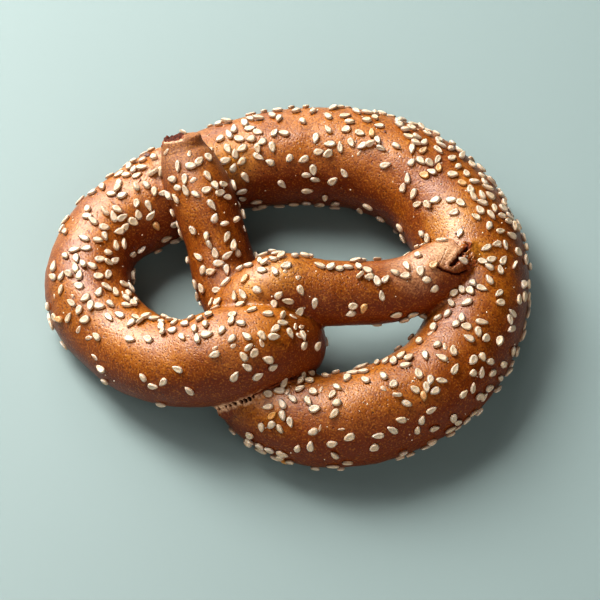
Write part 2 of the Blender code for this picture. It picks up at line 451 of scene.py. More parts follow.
form = bmesh.new()
form.from_mesh(dough.data)
for margin in FINE_MARGINS:
    inside = {vert for vert in form.verts if torn_here(vert.co / MM, margin)}
    edges = [edge for edge in form.edges if edge.verts[0] in inside and edge.verts[1] in inside]
    bmesh.ops.subdivide_edges(form, edges=edges, cuts=1, use_grid_fill=True)
fine = [vert for vert in form.verts if torn_here(vert.co / MM, SMOOTHING_MARGIN)]
for _ in range(SMOOTHING_ROUNDS):
    bmesh.ops.smooth_vert(form, verts=fine, factor=0.5, use_axis_x=True, use_axis_y=True, use_axis_z=True)
form.normal_update()
print("finer points:", len(fine), "faces in all:", len(form.faces))

# %% Cracks and crumbly crust
# The cracks, the crevice and the crease are painted darker towards their middle: painted shade.
CRACKS = (  # points in millimetres, then half the width, the depth, and how much painted shade darkens the crack
    (  # deep crack of the pressed tip
        ((44.0, 19.0, 26.3), (44.3, 17.1, 27.5), (44.0, 14.5, 28.5), (43.8, 11.9, 28.9), (43.0, 8.6, 29.4)),
        (0.75, 1.9, 1.0),
    ),
    (  # fine crack beside it
        ((39.9, 13.0, 30.6), (40.1, 10.1, 31.0), (40.3, 7.0, 30.8)),
        (0.15, 0.22, 0.35),
    ),
    (  # crevice in front of the tip
        ((39.6, 6.1, 30.4), (41.9, 6.0, 29.8), (43.9, 6.8, 28.6), (45.8, 8.2, 27.4), (47.1, 10.7, 26.6)),
        (0.45, 1.1, 0.9),
    ),
    (  # crease where the seam goes on
        ((8.2, -46.6, 21.5), (10.3, -44.3, 22.8), (13.4, -41.1, 23.2), (17.2, -36.2, 21.8)),
        (0.45, 0.6, 0.9),
    ),
)
CRACK_LIP = 0.15  # height of the swollen edge beside a crack, as a share of its depth
CRUMBLY_CRUST = (  # X, Y, Z and radius in millimetres, and how torn
    (46.6, 13.4, 27.1, 3.4, 0.48),
    (44.5, 17.6, 27.2, 1.6, 0.60),
    (-46.0, 11.5, 30.6, 1.6, 0.60),
)


def ragged(spot, width):
    """Noise from -1 to 1 whose bumps are about width millimetres wide."""
    return noise.noise(spot / width)


def between(value, low, high):
    """How far a value lies from low to high, held between 0 and 1."""
    return min(max((value - low) / (high - low), 0.0), 1.0)


def nearness(spot, x, y, z, radius):
    """1 in the middle of a ball, 0 on its surface and less outside."""
    return 1.0 - (spot - Vector((x, y, z))).length / radius


def on_skin(line):
    """The points of a line and those halfway between them, moved onto the skin."""
    points = [Vector(point) for point in line]
    halfway = [(start + end) / 2 for start, end in zip(points, points[1:])]
    laid = [point for pair in zip(points, halfway) for point in pair] + points[-1:]
    return [skin_tree.find_nearest(point * MM)[0] / MM for point in laid]


skin_tree = BVHTree.FromBMesh(form)
cracks = [(on_skin(line), *sizes) for line, sizes in CRACKS]


def cracked(spot):
    """How far the cracks move the skin out at a spot, in millimetres, and how torn and darkened by painted
    shade it is there.
    """
    out, torn_and_shaded = 0.0, 0.0
    for line, width, depth, painted_shade in cracks:
        apart, _ = beside_line(spot, line)
        width *= 1.0 + 0.6 * ragged(spot, 1.9)
        apart += 0.4 * width * (ragged(spot, 1.1) + ragged(spot, 0.5))
        lip = between(apart, 0.8 * width, 1.6 * width) * between(apart, 3.2 * width, 1.8 * width)
        out += depth * (CRACK_LIP * lip - between(apart, width, 0.0))
        torn_and_shaded = max(torn_and_shaded, painted_shade * between(apart, 1.5 * width, 0.4 * width))
    return out, torn_and_shaded


def crumbled(spot):
    """How far the crumbly crust stands out at a spot, in millimetres, and how torn it is there."""
    out, torn_and_shaded = 0.0, 0.0
    for *ball, much in CRUMBLY_CRUST:
        crumbly = between(nearness(spot, *ball) + 0.25 * ragged(spot, 1.0), 0.0, 0.4)
        out += crumbly * (0.5 * ragged(spot, 1.1) + 0.4 * ragged(spot, 0.5))
        torn_and_shaded = max(torn_and_shaded, crumbly * (much + 0.4 * ragged(spot, 0.9)))
    return out, torn_and_shaded


print("cracks:", len(cracks), "crumbly places:", len(CRUMBLY_CRUST))

# %% The stretched seam
SEAM_PORES = (  # how far along the seam, and how large
    (0.065, 0.9), (0.17, 0.7), (0.24, 1.0), (0.33, 1.3),
    (0.44, 1.2), (0.505, 1.3), (0.56, 1.2), (0.61, 0.7),
)
PORE_WIDTH, PORE_HEIGHT, PORE_DEPTH = 0.50, 0.62, 1.4  # half the width and height, and the depth


def seam_pore(part, size):
    """A pore of the seam: its middle on the skin, the ways along and across the seam, and its size."""
    step = part * (len(SEAM) - 1)
    i = min(int(step), len(SEAM) - 2)
    start, end = Vector(SEAM[i]), Vector(SEAM[i + 1])
    place, normal, _, _ = skin_tree.find_nearest(start.lerp(end, step - i) * MM)
    along = (end - start).normalized()
    return place / MM, along, normal.cross(along).normalized(), size


seam_pores = [seam_pore(part, size) for part, size in SEAM_PORES]


def pore_depth(spot):
    """How deep a pore of the seam is at a spot, from 0 to 1."""
    deepest = 0.0
    for middle, along, across, size in seam_pores:
        offset = spot - middle
        if offset.length < 2.0:  # a pore is never wider than this
            reach = math.hypot(offset.dot(along) / PORE_WIDTH, offset.dot(across) / PORE_HEIGHT) / size
            deepest = max(deepest, between(reach, 1.0, 0.7))
    return deepest


def stretched(spot):
    """How far the seam moves the skin out at a spot, in millimetres, and how pale and open it is there."""
    apart, part = beside_line(spot, SEAM)
    if apart > SEAM_REACH:
        return 0.0, 0.0, 0.0
    near = 1.0 - apart / SEAM_REACH
    pale = between(near + 0.35 * ragged(spot, 1.3), 0.20, 0.85) * between(part, 0.82, 0.50)
    hole = pore_depth(spot)
    return near * 0.25 * ragged(spot, 0.7) - PORE_DEPTH * hole, pale, hole


print("pores in the seam:", len(seam_pores))

# %% The cut tip
CUT_TIP = Vector((-42.5, 15.5, 31.0))  # middle of the cut face
CUT_FACING = Vector((-0.475, 0.594, 0.650))
CUT_SIDE = Vector((0.914, 0.407, 0.0))  # only the left part of the cut face tore open
CUT_RADIUS, CUT_LENGTH = 7.4, 4.6  # millimetres beside and behind the cut in which the dough was drawn out
CUT_DRAWN = 1.0  # how far it was drawn


def eased(share):
    """A share from 0 to 1 that starts and ends softly."""
    return share * share * (3.0 - 2.0 * share)


def cut_tip(spot):
    """How far the cut end reaches along its facing, in millimetres, how torn it is, and its pale rim."""
    offset = spot - CUT_TIP
    side, ahead = offset.dot(CUT_SIDE), offset.dot(CUT_FACING)
    if offset.length > CUT_RADIUS or ahead < -CUT_LENGTH:
        return 0.0, 0.0, 0.0
    drawn = CUT_DRAWN * eased(between(ahead, -CUT_LENGTH, -0.3))
    left = between(side + 0.8 * ragged(spot, 1.6), 1.6, 0.4)
    face = left * between(ahead + 0.25 * ragged(spot, 0.9), -0.7, -0.3)
    far = between(offset.dot(CUT_FACING.cross(CUT_SIDE)), -2.0, 1.5)
    rough = 0.9 * ragged(spot, 1.3) + 0.5 * ragged(spot, 0.6) + 0.5 * far - 0.3
    rim = left * between(ahead, -1.1, -0.9) * (1.0 - face)
    return drawn + face * rough, face, rim


print("drawing the cut tip out by", CUT_DRAWN, "mm")

# %% [markdown]
# ## Where the skin browned, and painted light
# The oven didn't brown the pretzel evenly: a few thick places stayed golden, the cut tip dried without gloss,
# and skin that was drawn thin stayed pale. Light is painted on as well: the side that faces the window lamp
# is painted lighter golden, and the pressed tip and the top of the right arm get a pale painted highlight.
# Each of these is a value on the dough's points, which the crust's material reads later. The same loop moves
# the points at the tears.

# %% Brown, golden, matt, pale and painted light
LAMP_SIDE = Vector((-0.46, 0.18, 0.87))  # the side towards the window lamp, which is painted lighter golden as painted light
MATT_TIP = (-40.5, 11.0, 30.5, 12.0)  # X, Y, Z and radius in millimetres
PALE_SKIN_AND_HIGHLIGHT = (  # X, Y, Z and radius in millimetres, and how pale
    # painted highlight on the pressed tip and on the top of the right arm
    (40.0, 11.8, 31.0, 6.8, 0.78),
    (34.0, 3.5, 30.5, 9.0, 0.40),
    # skin drawn thin beside the cut tip
    (-47.0, 9.0, 26.0, 4.8, 0.45),
)
GOLDEN_SPOTS = (  # X, Y, Z and radius in millimetres of crust that stayed light
    (36.0, 24.7, 25.7, 10.0),  # belly beside the pressed tip
    (-29.5, 19.8, 22.6, 10.0),  # belly beside the cut tip
    (-4.0, -22.4, 32.1, 7.0),  # ridge where the arms cross
    (1.6, -14.7, 34.9, 8.0),
    (47.0, 18.5, 25.5, 5.0),
)

torn_and_shaded_layer, pale_and_highlight_layer, matt_layer, golden_layer, hole_layer, lit_side_layer = (
    form.verts.layers.float.new(name) for name in ("torn_and_shaded", "pale", "matt", "golden", "hole", "lit_side")
)
moved = []
for vert in form.verts:
    spot = vert.co / MM
    vert[matt_layer] = between(nearness(spot, *MATT_TIP), 0.0, 0.6)
    vert[golden_layer] = max(0.0, *(nearness(spot, *ball) for ball in GOLDEN_SPOTS))
    vert[pale_and_highlight_layer] = max(much * between(nearness(spot, *ball), 0.0, 0.7) for *ball, much in PALE_SKIN_AND_HIGHLIGHT)
    # painted light: how far each point faces the window lamp
    vert[lit_side_layer] = between(vert.normal.dot(LAMP_SIDE), 0.15, 0.80)
    if torn_here(spot, 0.0):
        crack_out, crack_shade = cracked(spot)
        crumb_out, crumb_torn = crumbled(spot)
        seam_out, pale, hole = stretched(spot)
        drawn, cut, rim = cut_tip(spot)
        vert[torn_and_shaded_layer] = min(max(crack_shade, crumb_torn, hole, cut), 1.0)
        vert[hole_layer] = hole
        vert[pale_and_highlight_layer] = max(vert[pale_and_highlight_layer], pale, rim)
        moved.append((vert, vert.normal * (crack_out + crumb_out + seam_out) * MM + CUT_FACING * drawn * MM))
for vert, move in moved:
    vert.co += move
form.to_mesh(dough.data)
form.free()
print("points moved at the tears:", sum(1 for _, move in moved if move.length > 0.0))

# %% [markdown]
# ## Crust
# Pretzel crust is brown because the dough is dipped in lye before baking. It is thin and glossy, amber to
# deep brown, with fine dark specks of spelt bran and a grainy skin that glitters where light grazes it. One
# procedural material does all of it on object coordinates counted in millimetres, so each pattern's size can
# be read in its numbers. The colour is laid on in coats: each pattern says how much of its colour covers
# what is below. Some coats are painted light: a lighter golden on the side towards the window lamp, fewer
# blisters on the side away from it, a pale painted highlight on the pressed tip, and painted shade in the
# cracks, the crease and the seam's pores. Torn crust is a second material, dark and rough, on the faces that
# the tears left open, painted darkest deep in the tears and lighter at their edges.

# %% Helpers for materials


def add_node(material, kind, inputs=None, **settings):
    """Adds a shader node, sets its options and feeds its inputs."""
    made = material.node_tree.nodes.new(kind)
    for name, value in settings.items():
        setattr(made, name, value)
    for name, value in (inputs or {}).items():
        feed(material, made.inputs[name], value)
    return made


def point_value(material, name):
    """A value that is kept on the mesh's points."""
    return add_node(material, "ShaderNodeAttribute", attribute_name=name).outputs["Fac"]


def in_millimetres(material):
    """Object coordinates counted in millimetres."""
    place = add_node(material, "ShaderNodeTexCoord").outputs["Object"]
    scaled = {"Vector": place, "Scale": (1 / MM, 1 / MM, 1 / MM)}
    return add_node(material, "ShaderNodeMapping", scaled).outputs["Vector"]


def noise_pattern(material, place, width, detail=2.0, roughness=0.5):
    """Cloudy noise whose patches are about width millimetres across."""
    inputs = {"Vector": place, "Scale": 1 / width, "Detail": detail, "Roughness": roughness}
    return add_node(material, "ShaderNodeTexNoise", inputs).outputs["Fac"]


def dots(material, place, width):
    """The distance to the nearest of random dots about width millimetres apart."""
    inputs = {"Vector": place, "Scale": 1 / width}
    return add_node(material, "ShaderNodeTexVoronoi", inputs).outputs["Distance"]


def spread(material, value, low, high, to_low=0.0, to_high=1.0):
    """The value's range from low to high, stretched over another range and held there."""
    inputs = {"Value": value, "From Min": low, "From Max": high, "To Min": to_low, "To Max": to_high}
    return add_node(material, "ShaderNodeMapRange", inputs).outputs["Result"]


def times(material, first, second, plus=0.0):
    """Two values multiplied, plus a third."""
    inputs = {0: first, 1: second, 2: plus}
    return add_node(material, "ShaderNodeMath", inputs, operation="MULTIPLY_ADD").outputs["Value"]


def coated(material, ground, coats):
    """A ground colour under coats, each given as how much of it covers what is below, and its colour."""
    for amount, colour in coats:
        inputs = {0: amount, 6: ground, 7: colour}  # the sockets between them mix numbers and vectors
        ground = add_node(material, "ShaderNodeMix", inputs, data_type="RGBA").outputs[2]
    return ground


def bump(material, height, distance, strength, normal=None):
    """A normal tilted by a pattern whose full height is a distance in metres, over another normal."""
    inputs = {"Height": height, "Distance": distance, "Strength": strength}
    if normal is not None:
        inputs["Normal"] = normal
    return add_node(material, "ShaderNodeBump", inputs).outputs["Normal"]


# %% The crust's colour
# LIT_SIDE_GOLDEN is painted light: the crust's colour where it faces the window lamp
LIT_SIDE_GOLDEN = (0.415, 0.137, 0.006, 1.0)
BROWN = (0.170, 0.026, 0.001, 1.0)
MATT_BROWN = (0.20, 0.069, 0.010, 1.0)
PIT = (0.11, 0.022, 0.003, 1.0)
BRAN = (0.055, 0.016, 0.006, 1.0)
BLISTER = (0.62, 0.27, 0.035, 1.0)
YELLOW = (0.66, 0.30, 0.035, 1.0)
# pale peach of stretched skin, also the pressed tip's painted highlight
PALE_PEACH = (0.82, 0.52, 0.32, 1.0)
# painted shade: near black inside the seam's pores
HOLE_SHADE = (0.012, 0.004, 0.002, 1.0)

crust = new_material("baked_crust")
spot = in_millimetres(crust)
lit_side, golden, matt, torn_and_shaded, pale, hole = (
    point_value(crust, name) for name in ("lit_side", "golden", "matt", "torn_and_shaded", "pale", "hole")
)
patches = noise_pattern(crust, spot, 19.0, detail=3.0)
mottle = noise_pattern(crust, spot, 1.6, roughness=0.6)
grain = noise_pattern(crust, spot, 0.54, detail=1.5, roughness=0.55)
blisters = spread(crust, grain, 0.56, 0.66, 0.0, 0.38)
pore_rim = spread(crust, dots(crust, spot, 0.95), 0.10, 0.34)
speck = spread(crust, dots(crust, spot, 1.7), 0.09, 0.17, 1.0, 0.0)
thinned = spread(crust, noise_pattern(crust, spot, 3.1, detail=0.0), 0.42, 0.52)
crust_coats = (
    # painted light: lighter golden where the skin faces the window lamp, in cloudy patches
    (times(crust, lit_side, spread(crust, patches, 0.36, 0.56, 0.35, 1.0)), LIT_SIDE_GOLDEN),
    (times(crust, golden, 0.75), YELLOW),
    (times(crust, matt, 0.7), MATT_BROWN),
    (spread(crust, mottle, 0.42, 0.75, 0.0, 0.40), BROWN),
    # painted shade: fewer blisters on the side away from the lamp
    (times(crust, blisters, spread(crust, lit_side, 0.0, 0.6, 0.85, 1.0)), BLISTER),
    (spread(crust, grain, 0.45, 0.35, 0.0, 0.70), PIT),
    (spread(crust, pore_rim, 0.0, 1.0, 0.55, 0.0), PIT),
    (times(crust, speck, thinned), BRAN),
    # pale stretched skin, and the painted highlight on the pressed tip and the right arm
    (times(crust, pale, spread(crust, grain, 0.36, 0.58, 0.35, 1.0)), PALE_PEACH),
    # darker torn crust, with painted shade deep in the cracks and the crease
    (times(crust, torn_and_shaded, 0.8), PIT),
    # painted shade in the seam's pores
    (hole, HOLE_SHADE),
)
set_shader(crust, {"Base Color": coated(crust, BROWN, crust_coats)})
print("crust:", len(crust_coats), "coats of colour")

# %% The crust's gloss and grain
CRUST_IOR = 1.47
SKIN_DEPTH, PORE_RIM_DEPTH, GRAIN_DEPTH = 0.04 * MM, 0.07 * MM, 0.12 * MM

shine = spread(crust, noise_pattern(crust, spot, 7.0), 0.3, 0.7, 0.34, 0.44)
skin = bump(crust, noise_pattern(crust, spot, 1.3), SKIN_DEPTH, 1.0)
pored = bump(crust, pore_rim, PORE_RIM_DEPTH, 1.0, skin)
grained = bump(crust, grain, GRAIN_DEPTH, times(crust, matt, 1.2, plus=1.0), pored)
set_shader(crust, {"Roughness": times(crust, matt, 0.30, plus=shine), "IOR": CRUST_IOR, "Normal": grained})
print("crust:", len(crust.node_tree.nodes), "nodes in all")

# %% Torn crust, rough and without gloss
# painted shade: TORN_SHADED deepest in the tears, and TORN_LIT as painted light at their edges
TORN = (0.15, 0.028, 0.010, 1.0)
TORN_SHADED = (0.035, 0.008, 0.004, 1.0)
TORN_LIT = (0.34, 0.085, 0.022, 1.0)
CLOD_DEPTH = 0.35 * MM
TORN_FROM = 0.5  # faces more torn than this are torn crust

torn_crust = new_material("torn_crust")
clods = noise_pattern(torn_crust, in_millimetres(torn_crust), 0.8, detail=3.0, roughness=0.7)
torn_coats = (
    (spread(torn_crust, clods, 0.38, 0.62), TORN),
    (spread(torn_crust, point_value(torn_crust, "torn_and_shaded"), 0.50, 0.80, 1.0, 0.0), TORN_LIT),
    # painted shade in the seam's pores
    (point_value(torn_crust, "hole"), HOLE_SHADE),
)
torn_finish = {
    "Base Color": coated(torn_crust, TORN_SHADED, torn_coats),
    "Roughness": 0.75,
    "Specular IOR Level": 0.15,
    "Normal": bump(torn_crust, clods, CLOD_DEPTH, 1.0),
}
set_shader(torn_crust, torn_finish)

dough.data.materials.clear()
dough.data.materials.append(crust)
dough.data.materials.append(torn_crust)
dough.data.shade_smooth()
torn_and_shaded_values = dough.data.attributes["torn_and_shaded"].data
for polygon in dough.data.polygons:
    share = sum(torn_and_shaded_values[i].value for i in polygon.vertices) / len(polygon.vertices)
    polygon.material_index = 1 if share > TORN_FROM else 0
print("torn faces:", sum(polygon.material_index for polygon in dough.data.polygons))

# %% [markdown]
# ## One sesame seed
# A hulled sesame seed is a flat drop a little over three millimetres long, with a blunt end, a point, a
# rounded edge and a slightly sunken face inside a rim. A ring of twelve points is pulled to the drop's
# outline, then extruded four times and inset once. That is about sixty faces, few enough for hundreds of
# copies. Some seeds are slim, some broad, some plump, so several kinds are made from the same recipe.

# %% Kinds of seed
SEED_SIDES = 12
SEED_KINDS = (  # length, width, thickness, taper, width of the face as a share, and how deep it is sunken
    (3.40, 2.50, 1.05, 0.50, 0.58, 0.03),
    (3.20, 2.60, 1.00, 0.42, 0.70, 0.08),
    (3.60, 2.40, 1.00, 0.58, 0.60, 0.04),
    (3.00, 2.35, 1.10, 0.45, 0.48, 0.00),
    (3.45, 2.20, 0.95, 0.52, 0.70, 0.08),
)
SEED_PROFILE = ((0.25, 0.88), (0.52, 1.00), (0.82, 0.88))  # height and width, as shares of the seed's own
SEED_FOOT, SEED_FACE = 0.60, 0.80  # width of the underside, and of the sunken face against the last ring


def drop_face(form, sides, length, width, taper):
    """A flat face with a drop's outline, its length along X and its point at +X."""
    bmesh.ops.create_circle(form, cap_ends=True, segments=sides, radius=0.5)
    for vert in form.verts:
        vert.co.y *= 1.0 - taper * (vert.co.x + 0.5) ** 1.4
    bmesh.ops.scale(form, vec=(length * MM, width * MM, 1.0), verts=form.verts)
    return next(iter(form.faces))


def raised(form, top, growth, rise):
    """The face at the end of a short extrusion, larger and higher than it was."""
    grown = bmesh.ops.extrude_face_region(form, geom=[top])["geom"]
    top = next(item for item in grown if isinstance(item, bmesh.types.BMFace))
    bmesh.ops.scale(form, vec=(growth, growth, 1.0), verts=top.verts)
    bmesh.ops.translate(form, vec=(0.0, 0.0, rise * MM), verts=top.verts)
    return top


def seed_mesh(length, width, thickness, taper, face, sunken):
    """One seed, lying with its face up."""
    form = bmesh.new()
    middle = form.verts.layers.float.new("middle")
    point = form.verts.layers.float.new("point")
    top = drop_face(form, SEED_SIDES, length * SEED_FOOT, width * SEED_FOOT, taper)
    height, breadth = 0.0, SEED_FOOT
    for higher, broader in (*SEED_PROFILE, (1.0, face)):
        top = raised(form, top, broader / breadth, (higher - height) * thickness)
        height, breadth = higher, broader
    rim = (1.0 - SEED_FACE) * breadth * width / 2 * MM
    bmesh.ops.inset_region(form, faces=[top], thickness=rim, depth=-sunken * MM)
    for vert in top.verts:
        vert[middle] = 1.0 if sunken > 0.0 else 0.3
    for vert in form.verts:
        vert[point] = between(vert.co.x / (length * MM), 0.36, 0.46)
    bmesh.ops.recalc_face_normals(form, faces=form.faces)
    return mesh_from(form, "seed_kind")


seed_kinds = [seed_mesh(*kind) for kind in SEED_KINDS]
print("seed kinds:", len(seed_kinds), "with", len(seed_kinds[0].polygons), "faces each")

# %% [markdown]
# ## Strewing the seeds
# Seeds are strewn from above, so most land on top of the strands and few on their sides. Some patches
# caught many, some almost none, and the tips are nearly bare. Random points of the skin are kept or dropped
# by that rule. A seed that lands against another leans on it, and a few stand up on their edge.

# %% Where the seeds lie
SEEDS_PER_CM2 = 9.2  # on top of the strand
SIDE_SHARE = 0.26  # what a side gets of that
LOWEST_SEED = 2.5 * MM
CLOSEST_SEEDS = 2.15 * MM
SEED_ROOM = 3.0 * MM  # a seed needs this much free room above it
SCATTER = 12  # starts the random numbers, and another number gives another layout
SEED_PATCHES = (  # X, Y, radius in millimetres, and how much of the usual density lies in the middle
    (44, 37, 12, 2.5),  # right shoulder, thickest
    (53, 30, 9, 2.4),
    (18, 42.5, 9, 2.2),  # crest of the belly
    (32, 42, 9, 1.5),
    (62, 6, 10, 1.4),  # outside of the right lobe
    (11, 29.5, 12, 0.42),  # inside of the belly
    (31, 27, 8, 0.6),
    (40, 23, 7, 0.15),
    (-16, 44, 8, 0.6),
    (-27.5, 23.5, 6, 1.8),  # belly, right of the cut tip
    (-42, 26, 7, 0.3),
    (-42, 14, 9, 1.5),  # belly, left of the cut tip
    (-56, 2, 10, 1.7),  # left shoulder
    (-48, -10, 9, 1.6),  # inside of the left lobe
    (-46, -21, 9, 1.6),
    (-39, -29, 8, 1.6),
    (-52, -38, 8, 1.5),
    (-61, -9, 6, 0.6),
    (-36, -48, 12, 0.12),  # front of the left lobe, nearly bare
    (-25, -50, 13, 0.06),
    (-6, -50, 11, 0.06),
    (4, -46, 7, 0.05),
    (-1, -38.5, 6, 2.5),  # top of the left strand
    (-5, -32, 6, 0.6),
    (-29, -6, 6, 0.3),  # left side of the left arm
    (-17, -7, 9, 1.8),  # foot of the left arm
    (-23, -4, 5, 1.5),
    (-21, -17, 6, 1.9),
    (14, -52, 7.5, 5.2),  # in front of the crossing
    (32, -31, 6, 1.8),  # right strand
    (29, -41, 11, 0.3),
    (42, -43, 11, 0.22),
    (52, -27, 9, 0.3),
    (58, -8.5, 9, 0.38),  # right lobe, low on its right side thicker again
    (47, -11, 9, 0.15),
    (64, -13, 7, 1.8),
    (50.5, 10.5, 7, 1.6),  # belly, right of the pressed tip
    (0.5, -21, 6, 0.3),
    (4, -13, 7, 0.7),  # start of the right arm
    (20, -14, 11, 0.1),  # front of the right arm
    (36, -3, 6, 0.15),
)
BARE_SPOTS = (  # X, Y, Z and radius in millimetres
    (-41.5, 14.0, 30.0, 9.0),  # cut tip
    (42.6, 12.0, 28.5, 8.3),  # pressed tip
    (4.5, -49.0, 19.5, 7.8),  # stretched seam
)


def seed_share(place, normal):
    """How many of the dropped seeds stay on a place, against the usual density on top of a strand."""
    spot = place / MM
    if place.z < LOWEST_SEED or any(nearness(spot, *ball) > 0.0 for ball in BARE_SPOTS):
        return 0.0
    share = SIDE_SHARE + (1.0 - SIDE_SHARE) * eased(between(normal.z, 0.45, 0.95))
    for x, y, radius, much in SEED_PATCHES:
        away = (spot.xy - Vector((x, y))).length / radius
        if away < 1.0:
            share *= much + (1.0 - much) * away * away
    return share


def random_places(count):
    """Random points of the dough's skin with their normals, spread evenly over its area."""
    mesh = dough.data
    mesh.calc_loop_triangles()
    triangles = list(mesh.loop_triangles)
    picks = chance.choices(range(len(triangles)), [triangle.area for triangle in triangles], k=count)
    for pick in picks:
        a, b, c = (mesh.vertices[i] for i in triangles[pick].vertices)
        u, v = chance.random(), chance.random()
        if u + v > 1.0:
            u, v = 1.0 - u, 1.0 - v
        w = 1.0 - u - v
        normal = (a.normal * w + b.normal * u + c.normal * v).normalized()
        yield a.co * w + b.co * u + c.co * v, normal


print("patches with more or fewer seeds:", len(SEED_PATCHES))

# %% Seeds set one by one, then the strewn ones
HAND_SEEDS = (  # X, Y, angle of the point from +X in degrees, and how toasted, for seeds that stand out
    (-38.6, 1.9, 200.0, 0.1),  # on the cut tip
    (-38.2, 5.0, 285.0, 0.1),
    (-33.6, 8.3, 80.0, 0.2),
    (-43.2, 17.9, 204.0, 0.35),
    (45.2, 11.6, 190.0, 0.0),  # in the crack of the pressed tip
    (37.5, 15.1, 20.0, 0.2),
    (38.9, 5.8, 60.0, 0.85),
    (-21.5, -54.1, 130.0, 0.2),  # alone on the bare front of the left strand
    (-7.8, -53.7, 120.0, 0.2),
    (2.9, -47.5, 100.0, 0.2),
    (5.2, -44.5, 165.0, 0.1),
    (8.4, -44.5, 75.0, 0.2),
    (11.1, -40.7, 60.0, 0.1),
    (3.5, -42.8, 150.0, 0.2),
    (15.7, -30.8, 85.0, 0.3),
    (18.3, -27.3, 65.0, 0.3),
    (47.6, -33.2, 5.0, 0.1),  # on the right lobe
    (43.5, -43.4, 205.0, 0.1),
    (53.9, -31.0, 60.0, 0.1),
    (52.6, -34.2, 115.0, 0.2),
    (43.4, -45.6, 260.0, 0.2),
    (29.3, -8.0, 130.0, 0.1),  # on the right arm
    (-40.9, -6.0, 330.0, 0.9),  # toasted golden
    (15.2, -49.8, 60.0, 1.0),
)
ABOVE_ALL = 60.0  # a height over the whole pretzel


def hand_set(x, y):
    """The place on the skin right under X and Y in millimetres, and its normal."""
    place, normal, _, _ = crust_tree.ray_cast(Vector((x, y, ABOVE_ALL)) * MM, Vector((0.0, 0.0, -1.0)))
    return place, normal


chance = random.Random(SCATTER)
crust_tree = BVHTree.FromObject(dough, bpy.context.evaluated_depsgraph_get())
skin_area = sum(polygon.area for polygon in dough.data.polygons)
drops = round(skin_area * 1e4 * SEEDS_PER_CM2)
print("skin:", round(skin_area * 1e4), "cm2, drops at the usual density:", drops)

seed_places = [(*hand_set(x, y), math.radians(turn)) for x, y, turn, _ in HAND_SEEDS]
thickest = max(much for *_, much in SEED_PATCHES)
for place, normal in random_places(round(drops * thickest)):
    if chance.random() * thickest > seed_share(place, normal):
        continue
    if crust_tree.ray_cast(place + normal * 0.5 * MM, normal, SEED_ROOM)[0] is not None:
        continue
    if all((place - other).length > CLOSEST_SEEDS for other, _, _ in seed_places):
        seed_places.append((place, normal, chance.uniform(0.0, math.tau)))
print("seeds:", len(seed_places))

# %% Laying the seeds
STANDING_SEEDS = 0.05  # share that stands on its edge
STANDING_TILT, STANDING_LIFT = (35.0, 75.0), 0.5 * MM
TOASTED_SEEDS = 0.015  # share that is toasted golden
TOASTED_TONE, PLAIN_TONE = (0.8, 1.0), (0.0, 0.45)
LEANING_SEEDS = 2.6 * MM  # closer than this, a seed leans on its neighbour
LEAN_TURN, LEAN_LIFT = (8.0, 22.0), (0.2, 0.45)  # in degrees and millimetres
SEED_SIZES = (0.90, 1.10)  # against the kind's own size
SEED_SINK = 0.08 * MM  # how deep the underside sits in the crust
SEED_TILT = 7.0  # usual tilt, in degrees


def leaning(place, normal, others):
    """The turn and the lift of a seed that lies against its nearest earlier neighbour."""
    near = [other for other, _, _ in others if (place - other).length < LEANING_SEEDS]
    if not near:
        return Matrix.Identity(4), 0.0
    away = place - min(near, key=lambda other: (place - other).length)
    turn = Matrix.Rotation(math.radians(chance.uniform(*LEAN_TURN)), 4, normal.cross(away).normalized())
    return turn, chance.uniform(*LEAN_LIFT) * MM


def lying(normal, heading):
    """The turn of a shape that lies flat on the skin with its X towards a heading."""
    pointing = Vector((math.cos(heading), math.sin(heading), 0.0))
    pointing = (pointing - normal * pointing.dot(normal)).normalized()
    return Matrix((pointing, normal.cross(pointing), normal)).transposed().to_4x4()


def add_copy(form, pattern, matrix):
    """Adds a copy of a small mesh, moved by a matrix, and returns its points."""
    start = len(form.verts)
    form.from_mesh(pattern)
    form.verts.ensure_lookup_table()
    verts = form.verts[start:]
    bmesh.ops.transform(form, matrix=matrix, verts=verts)
    return verts


seeds_form = bmesh.new()
tone_layer = seeds_form.verts.layers.float.new("tone")
for name in ("middle", "point"):
    seeds_form.verts.layers.float.new(name)

for index, (place, normal, heading) in enumerate(seed_places):
    by_hand = index < len(HAND_SEEDS)
    lean, lift = leaning(place, normal, seed_places[:index])
    standing = chance.random() < STANDING_SEEDS and not by_hand
    tilt = chance.uniform(*STANDING_TILT) if standing else chance.gauss(0.0, SEED_TILT)
    if standing:
        lift += STANDING_LIFT
    toasted = chance.random() < TOASTED_SEEDS
    tone = chance.uniform(*(TOASTED_TONE if toasted else PLAIN_TONE))
    if by_hand:
        tone = HAND_SEEDS[index][3]
    roll = Matrix.Rotation(math.radians(tilt), 4, "X")
    size = Matrix.Diagonal((*(chance.uniform(*SEED_SIZES) for _ in range(3)), 1.0))
    where = Matrix.Translation(place + normal * (lift - SEED_SINK))
    matrix = where @ lean @ lying(normal, heading) @ roll @ size
    for vert in add_copy(seeds_form, chance.choice(seed_kinds), matrix):
        vert[tone_layer] = tone
sesame = object_from(seeds_form, "sesame_seeds")
sesame.data.shade_smooth()
print("sesame:", len(sesame.data.polygons), "faces")

# %% [markdown]
# ## Colour of the seeds
# Hulled sesame is cream-white with a duller face inside its rim and a browner point. Each seed has its own
# tone, kept on its points as an attribute, and a few are toasted golden. A little light passes through them.

# %% Sesame material
CREAM = (0.73, 0.57, 0.44, 1.0)
BEIGE = (0.71, 0.52, 0.35, 1.0)
TOASTED = (0.66, 0.28, 0.05, 1.0)
DULL_FACE = (0.58, 0.44, 0.30, 1.0)
BROWN_POINT = (0.34, 0.14, 0.04, 1.0)

